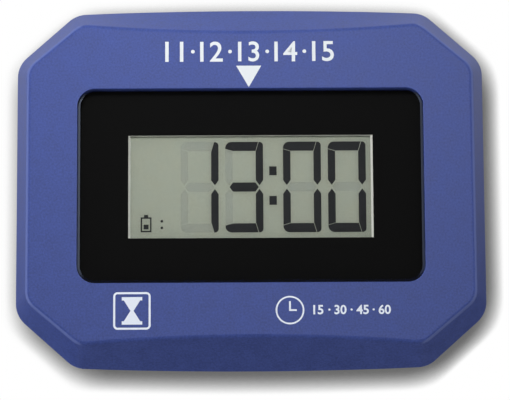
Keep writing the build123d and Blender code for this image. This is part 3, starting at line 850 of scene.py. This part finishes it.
lit, unlit = [], []
for place, right in figure_rights.items():
    for name, piece in bars.items():
        twin = moved(copied(piece, name), right - figure_width, figure_middle)
        (lit if name in shapes[shown[place]] else unlit).append(twin)
for piece in bars.values():
    bpy.data.objects.remove(piece)
for low, high in ((2.65, 4.66), (-4.05, -2.05)):
    colon_dot = plate("colon", (4.15, low), (5.8, high), figure_depth)
    lit.append(moved(colon_dot, 0.0, figure_middle))
print("bars on:", len(lit), "bars off:", len(unlit))

# %% [markdown]
# At the lower left the display has a small sign of its own. A plain battery stands there,
# with two dots beside it, drawn in lines as thin as the real sign's.

# %% Battery sign and its dots
battery = plate("battery", (-24.5, -10.1), (-22.1, -6.75), figure_depth)
frame_of(battery, 0.32)
charge = plate("charge", (-23.85, -9.45), (-22.75, -8.4), figure_depth)
cap = plate("cap", (-23.75, -6.76), (-22.85, -6.2), figure_depth)
dots = [dot("sign_dot", 0.3, (-19.8, z), figure_depth) for z in (-7.65, -9.14)]
lit += [moved(piece, 0.0, figure_middle) for piece in (battery, charge, cap, *dots)]
print("sign pieces:", 3 + len(dots))

# %% [markdown]
# Bars that are on are nearly black with a trace of blue, and those that are off only tint
# what lies behind them. One shader does both: its Alpha says how much the dye covers, all
# of what is behind a lit bar and only a twentieth of it behind an unlit one.

# %% Finishes for the figures
def display_dye(name, colour, strength):
    """Dark dye in the cell, a little cloudy, covering what is behind it by its strength."""
    material, tree, out = new_material(name)
    effect = add_node(tree, "ShaderNodeGroup", node_tree=grain)
    effect.inputs["Grain Size"].default_value = 0.0003
    effect.inputs["Mottle"].default_value = 0.12
    shader = add_node(tree, "ShaderNodeBsdfPrincipled",
                      {"Base Color": scaled_colour(tree, colour, effect.outputs["Shade"]),
                       "Roughness": 0.6, "Specular IOR Level": 0.1, "Alpha": strength})
    tree.links.new(shader.outputs[0], out.inputs["Surface"])
    return material


lit_dye = display_dye("display dye on", tone(47, 47, 51), 1.0)
unlit_dye = display_dye("display dye off", tone(56, 74, 124), 0.05)
for pieces, name, dye in ((lit, "figures_on", lit_dye), (unlit, "figures_off", unlit_dye)):
    figures = join_pieces(pieces, name)
    thicken(figures, figure_thickness)
    figures.visible_shadow = False
    finish_piece(figures, dye)

# %% [markdown]
# ## Signs on the coin cells
# The flat side of a coin cell that shows when the battery door slides away is its plus
# pole, and it is stamped with a plus sign. Two crossed bars with softened edges make it.

# %% Plus signs
plus_arm, plus_line, plus_corner = 2.6, 0.45, 0.35
plus_rise, plus_thickness = 0.1 * mm, 0.25 * mm
for hand in ("left", "right"):
    low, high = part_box(hand + "_cell")
    x, z = (low.x + high.x) / 2 / mm, (low.z + high.z) / 2 / mm
    arms = [plate("arm", (x - half_x, z - half_z), (x + half_x, z + half_z),
                  high.y + plus_rise)
            for half_x, half_z in ((plus_arm, plus_line), (plus_line, plus_arm))]
    for arm in arms:
        round_corners(arm, plus_corner)
        thicken(arm, -plus_thickness)
    finish_piece(join_pieces(arms, hand + "_cell_plus"), finishes["cell_metal"])

# %% [markdown]
# ## The surface the disc lies on
# The disc lies on its back on a white table, seen from above, so the table is a wall behind
# it in this frame. It is plain white except where the disc hides the room's light. Ambient
# occlusion measures that: it asks how much of the half-space towards the lamp is blocked
# close by. A power makes the contact shadow dark at once and lets it fade in a few
# millimetres, and the least value keeps the deepest shadow grey.
#
# Mirror rays see the table too, bright above the disc and dark below it, which is what
# makes the upper bevels shine and keeps the lower ones deep blue. Mirror rays that start a
# few millimetres from it come from the disc's back, and pass straight through. From behind,
# and for every ray that only carries light, the table is clear, so the disc can be looked
# at from all sides.

# %% Table
table_gap = 0.05 * mm
shadow_reach = 6.5 * mm
shadow_power, deepest_shadow = 2.3, 0.14
mirror_starts, mirror_lean = 6 * mm, -0.15
dark_below, bright_above = -40 * mm, 50 * mm
table_depth = cad_box[1].y + table_gap
deselect_all()
bpy.ops.mesh.primitive_plane_add(size=3.0, location=(0.0, table_depth, 0.0),
                                 rotation=facing_front)
table = bpy.context.object
table.name = "table"
bpy.ops.object.transform_apply(location=True, rotation=True, scale=True)

material, tree, out = new_material("white table")
toward_lamp = add_node(tree, "ShaderNodeCombineXYZ", {0: -0.36, 1: -0.91, 2: 0.2})
blocked = add_node(tree, "ShaderNodeAmbientOcclusion",
                   {"Normal": toward_lamp.outputs[0], "Distance": shadow_reach},
                   samples=16)
shadow = ramp(tree, blocked.outputs["AO"], 0.35, 0.95, to_low=0.25)
deepened = maths(tree, "POWER", shadow, shadow_power)
floored = maths(tree, "MAXIMUM", deepened, deepest_shadow)
clear = add_node(tree, "ShaderNodeBsdfTransparent")
ray = add_node(tree, "ShaderNodeLightPath")
side = add_node(tree, "ShaderNodeNewGeometry")
front = maths(tree, "SUBTRACT", 1.0, side.outputs["Backfacing"])
across = add_node(tree, "ShaderNodeSeparateXYZ", {0: object_point(tree)})
slanted = maths(tree, "MULTIPLY_ADD", across.outputs["X"], mirror_lean,
                across.outputs["Z"])
far_side = ramp(tree, slanted, dark_below, bright_above)
strength = maths(tree, "MAXIMUM", ray.outputs["Is Camera Ray"], far_side)
glow = add_node(tree, "ShaderNodeEmission", {"Color": floored, "Strength": strength})
from_afar = maths(tree, "GREATER_THAN", ray.outputs["Ray Length"], mirror_starts)
in_mirror = maths(tree, "MULTIPLY", from_afar, ray.outputs["Is Glossy Ray"])
looked_at = maths(tree, "MAXIMUM", ray.outputs["Is Camera Ray"], in_mirror)
seen = maths(tree, "MULTIPLY", looked_at, front)
mix = add_node(tree, "ShaderNodeMixShader",
               {0: seen, 1: clear.outputs[0], 2: glow.outputs[0]})
tree.links.new(mix.outputs[0], out.inputs["Surface"])
table.data.materials.append(material)
print("table at depth", round(table_depth / mm, 2), "mm")

# %% [markdown]
# ## Light
# Three kinds of ray leave for the world, and each finds its own. Camera rays and rays
# through clear sheets find plain white, for the background. Mirror rays find a room: pale
# at the back and at the side walls, and dark low down. All the others find soft fill
# light, brighter towards one side, so that the form shows in the plastic.

# %% World
world = bpy.data.worlds.new("studio")
bpy.context.scene.world = world
world.use_nodes = True
tree = world.node_tree
tree.nodes.clear()
out = tree.nodes.new("ShaderNodeOutputWorld")
ray = add_node(tree, "ShaderNodeLightPath")
direction = add_node(tree, "ShaderNodeTexCoord")
lean = add_node(tree, "ShaderNodeVectorMath",
                {0: direction.outputs["Generated"], 1: (0.45, 0.95, -0.15)},
                operation="DOT_PRODUCT")
level = ramp(tree, lean.outputs["Value"], -1.0, 1.0, to_low=0.2)
split = add_node(tree, "ShaderNodeSeparateXYZ", {0: direction.outputs["Generated"]})
behind = ramp(tree, split.outputs["Y"], 0.0, 0.5)
left_wall = ramp(tree, split.outputs["X"], -0.4, -0.6)
right_wall = ramp(tree, split.outputs["X"], 0.6, 0.8, to_high=0.3)
walls = maths(tree, "MAXIMUM", left_wall, right_wall)
pale = maths(tree, "MAXIMUM", behind, walls)
above = ramp(tree, split.outputs["Z"], -0.35, 0.15)
room = ramp(tree, pale, 0.0, 1.0, to_low=0.7)
mirrored = maths(tree, "MULTIPLY", room, above)
plain = maths(tree, "MAXIMUM", ray.outputs["Is Camera Ray"],
              ray.outputs["Is Transmission Ray"])


def sky(strength):
    """A white background of some strength."""
    return add_node(tree, "ShaderNodeBackground",
                    {"Color": (1.0, 1.0, 1.0, 1.0), "Strength": strength}).outputs[0]


lit_room = add_node(tree, "ShaderNodeMixShader", {0: plain, 1: sky(level), 2: sky(1.0)})
mix = add_node(tree, "ShaderNodeMixShader",
               {0: ray.outputs["Is Glossy Ray"], 1: lit_room.outputs[0], 2: sky(mirrored)})
tree.links.new(mix.outputs[0], out.inputs["Surface"])
print("world made")

# %% [markdown]
# Each lamp has one task. The key lamp at the upper left lights the face and the upper and
# left bevels. Two tall strips are seen only by mirror rays, and put the gloss on the side
# bevels. A low lamp at the left keeps the left bevel from going dull, and a rear one lights
# the back. A weak veil lies on the shell's gloss, and a wide sheet of light behind the disc
# is mirrored by bare metal only. Light linking says which pieces a lamp reaches, and which
# cannot shade it: the deep frame round the display would darken the display's upper edge.

# %% Lamps
def soft_box(name, place, size, power, diffuse=True, glossy=True):
    """A square area lamp at a place in metres that looks at the middle of the disc.

    It can be kept from surfaces that scatter its light or from those that mirror it.
    """
    lamp = bpy.data.lights.new(name, "AREA")
    lamp.shape = "SQUARE"
    lamp.size = size
    lamp.energy = power
    box = bpy.data.objects.new(name, lamp)
    bpy.context.scene.collection.objects.link(box)
    box.location = place
    box.rotation_euler = (-Vector(place)).to_track_quat("-Z", "Y").to_euler()
    box.visible_diffuse = diffuse
    box.visible_glossy = glossy
    return box


def collected(name, members):
    """A collection of some of the model's pieces, for a lamp to be linked to."""
    group = bpy.data.collections.new(name)
    for member in members:
        group.objects.link(nodes[member])
    return group


strip_height = 0.6
key = soft_box("key", (-0.045, -0.17, 0.12), 0.08, 0.355, glossy=False)
for name, x, power in (("left_strip", -0.46, 0.45), ("right_strip", 0.46, 0.35)):
    strip = soft_box(name, (x, -0.24, -0.06), 0.08, power, diffuse=False)
    strip.data.shape = "RECTANGLE"
    strip.data.size_y = strip_height
soft_box("low_left", (-0.45, -0.06, -0.17), 0.2, 0.95, glossy=False)
soft_box("rear", (0.3, 0.9, 0.35), 0.5, 5.0, glossy=False)
veil = soft_box("veil", (0.03, -0.6, 0.2), 0.2, 1.4, diffuse=False)
metal_glow = soft_box("metal_glow", (0.0, 0.6, -0.25), 1.6, 6.0, diffuse=False)

veil.light_linking.receiver_collection = collected("veiled", ("front_shell", "back_shell"))
metal_glow.light_linking.receiver_collection = collected(
    "bare_metal", ("left_cell", "right_cell", "housing_screws"))
blockers = collected("key_blockers", ("display_holder", "border_film", "pane_adhesive"))
key.light_linking.blocker_collection = blockers
for item in blockers.collection_objects:
    item.light_linking.link_state = "EXCLUDE"

# %% [markdown]
# A window this glossy mirrors whatever stands in front of it. A black card hung where the
# mirror image would be keeps the window black. The card here is seen only by mirror rays
# and is too small to darken the plastic.

# %% Black card
deselect_all()
card_place, card_width, card_height = (-0.012, -0.7, 0.124), 0.3, 0.22
bpy.ops.mesh.primitive_plane_add(size=1.0, location=card_place,
                                 rotation=(-math.pi / 2, 0.0, 0.0))
card = bpy.context.object
card.name = "black_card"
card.scale = (card_width, card_height, 1.0)
bpy.ops.object.transform_apply(location=True, rotation=True, scale=True)
card.visible_camera = card.visible_diffuse = card.visible_shadow = False
card.data.materials.append(moulded("card black", tone(6, 6, 6), roughness=0.9, specular=0.0))
print("card made")
